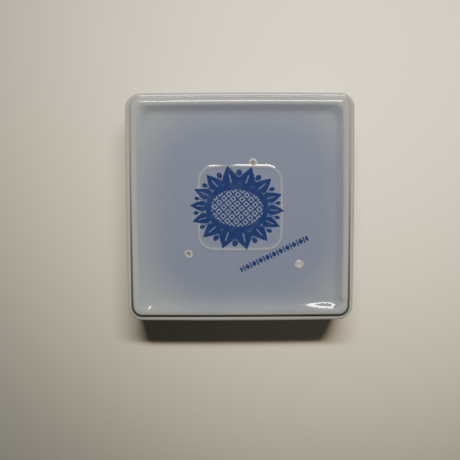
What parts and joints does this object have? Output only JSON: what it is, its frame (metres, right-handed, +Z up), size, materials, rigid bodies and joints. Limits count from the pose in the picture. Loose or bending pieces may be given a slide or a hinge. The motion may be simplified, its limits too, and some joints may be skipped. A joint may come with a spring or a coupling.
{
  "type": "square lidded ceramic box",
  "caption": "Square rounded-corner glazed earthenware box with a drop-in lid, lying face down so that its stepped foot, recessed panel and moulded square bead are uppermost.",
  "frame": {"origin": "centre of the face that rests on the table, under the lid, with the box lying face down", "axes": "+Z up out of the foot of the box, which lies uppermost; X and Y along the sides of the square, with the diagonal strip of the mark rising towards +X and +Y"},
  "size_m": [0.112, 0.112, 0.034],
  "materials": {
    "box_glaze": "glossy pale blue-grey glaze over fired flintware",
    "lid_glaze": "glossy pale grey glaze over fired flintware"
  },
  "bodies": {
    "lid": {"lid": "lid_glaze"},
    "box": {"box_body": "box_glaze"}
  },
  "joints": [
    {"name": "box_lift", "type": "slide", "parent": "lid", "child": "box", "axis": [0, 0, 1], "range_m": [0, 0.05]}
  ]
}
